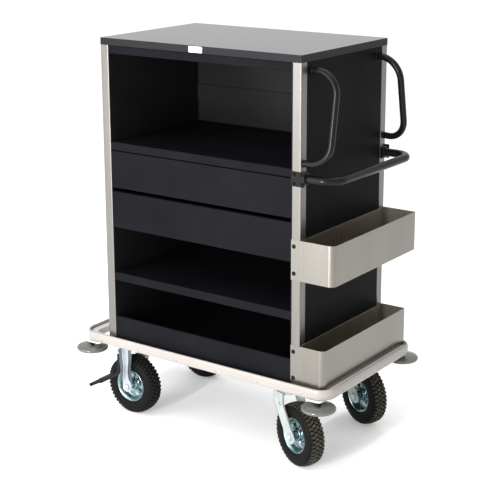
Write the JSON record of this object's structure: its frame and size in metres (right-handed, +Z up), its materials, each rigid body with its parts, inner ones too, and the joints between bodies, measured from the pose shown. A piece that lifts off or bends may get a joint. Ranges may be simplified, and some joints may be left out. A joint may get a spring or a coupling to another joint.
{
  "type": "housekeeping cart",
  "caption": "Housekeeping cart: black sheet-steel cabinet in brushed posts, drawers, open shelves, side bins, tube handles and a bumpered base on air-tyre casters.",
  "frame": {"origin": "on the floor under the middle of the base, which is the middle of the whole cart's outline at rest", "axes": "+X along the cart towards the push handle, -Y towards the open front, +Z up"},
  "size_m": [1.028, 0.632, 1.296],
  "materials": {
    "black_powder_coat": "satin, fine orange peel",
    "black_laminate": "semi-gloss laminate",
    "brushed_stainless": "fine straight brushing",
    "label_aluminium": "satin, blank",
    "base_metal": "light grey metallic coat",
    "vinyl": "soft satin vinyl",
    "handle_black": "semi-gloss black powder coat",
    "dark_screws": "blackened screws",
    "zinc_plate": "bright zinc plate, bluish",
    "rim_zinc": "bright zinc plate, pressed",
    "tyre_rubber": "matt rubber, dusty tread",
    "grey_bumper": "smooth grey rubber, semi-gloss"
  },
  "bodies": {
    "cart": {"base_frame": "base_metal", "vinyl_bumper": "vinyl", "bumper_screws": "dark_screws", "base_deck": "black_powder_coat", "front_left_post": "brushed_stainless", "front_right_post": "brushed_stainless", "rear_left_post": "brushed_stainless", "rear_right_post": "brushed_stainless", "left_outer_panel": "black_powder_coat", "right_outer_panel": "black_powder_coat", "left_inner_panel": "black_powder_coat", "right_inner_panel": "black_powder_coat", "back_outer_panel": "black_powder_coat", "back_inner_strips": "black_powder_coat", "top_slab": "black_laminate", "front_header_rail": "black_powder_coat", "upper_deck": "black_powder_coat", "middle_shelf": "black_powder_coat", "bottom_tray": "black_powder_coat", "cabinet_screws": "dark_screws", "label_plate": "label_aluminium", "front_lift_handle": "handle_black", "rear_lift_handle": "handle_black", "push_handle": "handle_black", "push_handle_clamps": "handle_black", "clamp_bolts": "dark_screws", "upper_bin": "brushed_stainless", "lower_bin": "brushed_stainless", "cabinet_runners": "zinc_plate", "caster_bolts": "zinc_plate", "front_rigid_fork": "zinc_plate", "rear_rigid_fork": "zinc_plate", "rigid_axles": "zinc_plate", "swivel_top_plates": "zinc_plate", "brake_pins": "zinc_plate", "roller_bolts": "zinc_plate"},
    "upper_drawer": {"upper_drawer_front": "black_powder_coat", "upper_drawer_tray": "black_powder_coat", "upper_drawer_runners": "zinc_plate"},
    "lower_drawer": {"lower_drawer_front": "black_powder_coat", "lower_drawer_tray": "black_powder_coat", "lower_drawer_runners": "zinc_plate"},
    "front_swivel": {"front_swivel_fork": "zinc_plate", "front_swivel_axle": "zinc_plate"},
    "rear_swivel": {"rear_swivel_fork": "zinc_plate", "rear_swivel_axle": "zinc_plate"},
    "front_left_wheel": {"front_left_tyre": "tyre_rubber", "front_left_rim": "rim_zinc"},
    "rear_left_wheel": {"rear_left_tyre": "tyre_rubber", "rear_left_rim": "rim_zinc"},
    "front_right_wheel": {"front_right_tyre": "tyre_rubber", "front_right_rim": "rim_zinc"},
    "rear_right_wheel": {"rear_right_tyre": "tyre_rubber", "rear_right_rim": "rim_zinc"},
    "front_brake": {"front_brake_lever": "handle_black"},
    "rear_brake": {"rear_brake_lever": "handle_black"},
    "front_left_roller": {"front_left_roller": "grey_bumper"},
    "front_right_roller": {"front_right_roller": "grey_bumper"},
    "rear_left_roller": {"rear_left_roller": "grey_bumper"},
    "rear_right_roller": {"rear_right_roller": "grey_bumper"}
  },
  "joints": [
    {"name": "upper_drawer_slide", "type": "slide", "parent": "cart", "child": "upper_drawer", "axis": [0, -1, 0], "range_m": [0, 0.32]},
    {"name": "lower_drawer_slide", "type": "slide", "parent": "cart", "child": "lower_drawer", "axis": [0, -1, 0], "range_m": [0, 0.32]},
    {"name": "front_swivel_turn", "type": "hinge", "parent": "cart", "child": "front_swivel", "pos_m": [0.3105, -0.198, 0.242], "axis": [0, 0, 1], "continuous": true},
    {"name": "rear_swivel_turn", "type": "hinge", "parent": "cart", "child": "rear_swivel", "pos_m": [0.3105, 0.198, 0.242], "axis": [0, 0, 1], "continuous": true},
    {"name": "front_left_wheel_roll", "type": "hinge", "parent": "cart", "child": "front_left_wheel", "pos_m": [-0.3275, -0.198, 0.1015], "axis": [0, 1, 0], "continuous": true},
    {"name": "rear_left_wheel_roll", "type": "hinge", "parent": "cart", "child": "rear_left_wheel", "pos_m": [-0.3275, 0.198, 0.1015], "axis": [0, 1, 0], "continuous": true},
    {"name": "front_right_wheel_roll", "type": "hinge", "parent": "front_swivel", "child": "front_right_wheel", "pos_m": [0.36651, -0.2195, 0.1015], "axis": [0.3584, 0.9336, 0], "continuous": true},
    {"name": "rear_right_wheel_roll", "type": "hinge", "parent": "rear_swivel", "child": "rear_right_wheel", "pos_m": [0.36573, 0.17456, 0.1015], "axis": [0.3907, 0.9205, 0], "continuous": true},
    {"name": "front_brake_press", "type": "hinge", "parent": "cart", "child": "front_brake", "pos_m": [-0.3565, -0.198, 0.224], "axis": [0, -1, 0], "range_deg": [0, 5.5]},
    {"name": "rear_brake_press", "type": "hinge", "parent": "cart", "child": "rear_brake", "pos_m": [-0.3565, 0.198, 0.224], "axis": [0, -1, 0], "range_deg": [0, 5.5]},
    {"name": "front_left_roller_turn", "type": "hinge", "parent": "cart", "child": "front_left_roller", "pos_m": [-0.46, -0.262, 0.227], "axis": [0, 0, 1], "continuous": true},
    {"name": "front_right_roller_turn", "type": "hinge", "parent": "cart", "child": "front_right_roller", "pos_m": [0.46, -0.262, 0.227], "axis": [0, 0, 1], "continuous": true},
    {"name": "rear_left_roller_turn", "type": "hinge", "parent": "cart", "child": "rear_left_roller", "pos_m": [-0.46, 0.262, 0.227], "axis": [0, 0, 1], "continuous": true},
    {"name": "rear_right_roller_turn", "type": "hinge", "parent": "cart", "child": "rear_right_roller", "pos_m": [0.46, 0.262, 0.227], "axis": [0, 0, 1], "continuous": true}
  ]
}
